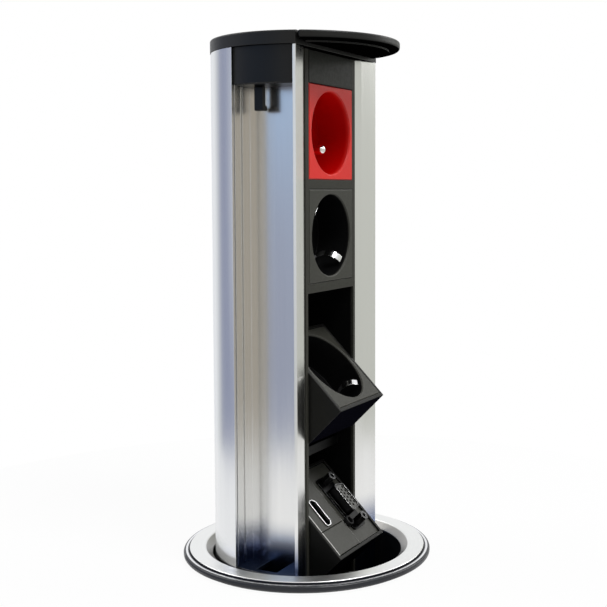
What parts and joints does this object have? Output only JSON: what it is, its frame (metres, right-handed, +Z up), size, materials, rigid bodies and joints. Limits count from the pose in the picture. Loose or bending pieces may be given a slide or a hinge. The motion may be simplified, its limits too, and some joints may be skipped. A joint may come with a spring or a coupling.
{
  "type": "pop up desk socket",
  "caption": "Round pop up tower for a desk hole, with a socket row, a tilting socket, a tilting data module, open cable channels, a hinged lid flap and a flanged well.",
  "frame": {"origin": "centre of the desk hole at the desk surface, on the underside of the flange", "axes": "+Z up along the column, sockets face -Y, cable channels face -X and +X"},
  "size_m": [0.1208, 0.1208, 0.551],
  "materials": {
    "pale_metal": "satin, pale",
    "dark_rim": "satin",
    "gasket_rubber": "matt",
    "well_black": "matt",
    "slide_plastic": "smooth",
    "felt": "felt",
    "zinc_steel": "zinc plated",
    "satin_aluminium": "satin anodised",
    "brushed_cover": "brushed",
    "lid_black": "matt",
    "gloss_black": "polished",
    "frame_black": "satin",
    "charcoal_plastic": "fine grain",
    "red_plastic": "satin gloss",
    "base_plastic": "smooth",
    "contact_brass": "bare",
    "bright_plating": "nickel plated",
    "terminal_white": "smooth",
    "wire_sleeve": "smooth",
    "insert_plastic": "smooth",
    "board_green": "smooth"
  },
  "bodies": {
    "desk_unit": {"flange_ring": "pale_metal", "flange_rim": "dark_rim", "desk_gasket": "gasket_rubber", "well_tube": "well_black", "guide_rails": "slide_plastic", "brake_pads": "felt", "stop_ring": "well_black", "clamp_nut": "well_black", "clamp_screws": "zinc_steel", "clamp_pads": "gasket_rubber", "well_bottom": "well_black"},
    "column": {"core_profile": "satin_aluminium", "rear_cover": "brushed_cover", "rear_cap": "lid_black", "cap_plate": "zinc_steel", "column_screws": "zinc_steel", "flap_pins": "zinc_steel", "channel_block_left": "gloss_black", "channel_block_right": "gloss_black", "cable_hook_left": "charcoal_plastic", "cable_hook_right": "charcoal_plastic", "channel_floor_left": "gloss_black", "channel_floor_right": "gloss_black", "bay_frame": "frame_black", "blank_panel": "charcoal_plastic", "bay_liner": "frame_black", "red_socket_face": "red_plastic", "red_socket_base": "base_plastic", "red_socket_contacts": "contact_brass", "red_socket_earth_pin": "bright_plating", "black_socket_face": "charcoal_plastic", "black_socket_base": "base_plastic", "black_socket_contacts": "contact_brass", "black_socket_earth_clip": "bright_plating", "socket_screws": "zinc_steel", "terminal_block": "terminal_white", "bus_wires": "wire_sleeve", "wire_combs": "frame_black", "column_foot": "slide_plastic", "supply_gland": "frame_black"},
    "front_flap": {"front_flap": "lid_black"},
    "tilting_socket": {"tilting_socket_housing": "charcoal_plastic", "tilting_socket_face": "charcoal_plastic", "tilting_socket_base": "base_plastic", "tilting_socket_contacts": "contact_brass", "tilting_socket_earth_clip": "bright_plating", "tilting_socket_screws": "zinc_steel", "tilting_socket_pivots": "zinc_steel"},
    "data_module": {"data_housing": "charcoal_plastic", "hdmi_plate": "charcoal_plastic", "lower_blank_plate": "charcoal_plastic", "vga_plate": "charcoal_plastic", "hdmi_shell": "bright_plating", "hdmi_tongue": "base_plastic", "vga_shell": "bright_plating", "vga_insert": "insert_plastic", "vga_posts": "bright_plating", "audio_jack": "base_plastic", "data_board": "board_green", "data_pivots": "zinc_steel"}
  },
  "joints": [
    {"name": "column_slide", "type": "slide", "parent": "desk_unit", "child": "column", "axis": [0, 0, 1], "range_m": [-0.2432, 0]},
    {"name": "flap_hinge", "type": "hinge", "parent": "column", "child": "front_flap", "pos_m": [0, -0.0194, 0.2467], "axis": [-1, 0, 0], "range_deg": [0, 90]},
    {"name": "socket_tilt", "type": "hinge", "parent": "column", "child": "tilting_socket", "pos_m": [0, -0.0109, 0.0907], "axis": [-1, 0, 0], "range_deg": [-45, 0]},
    {"name": "data_tilt", "type": "hinge", "parent": "column", "child": "data_module", "pos_m": [0, -0.0109, 0.021], "axis": [-1, 0, 0], "range_deg": [-45, 0]}
  ]
}
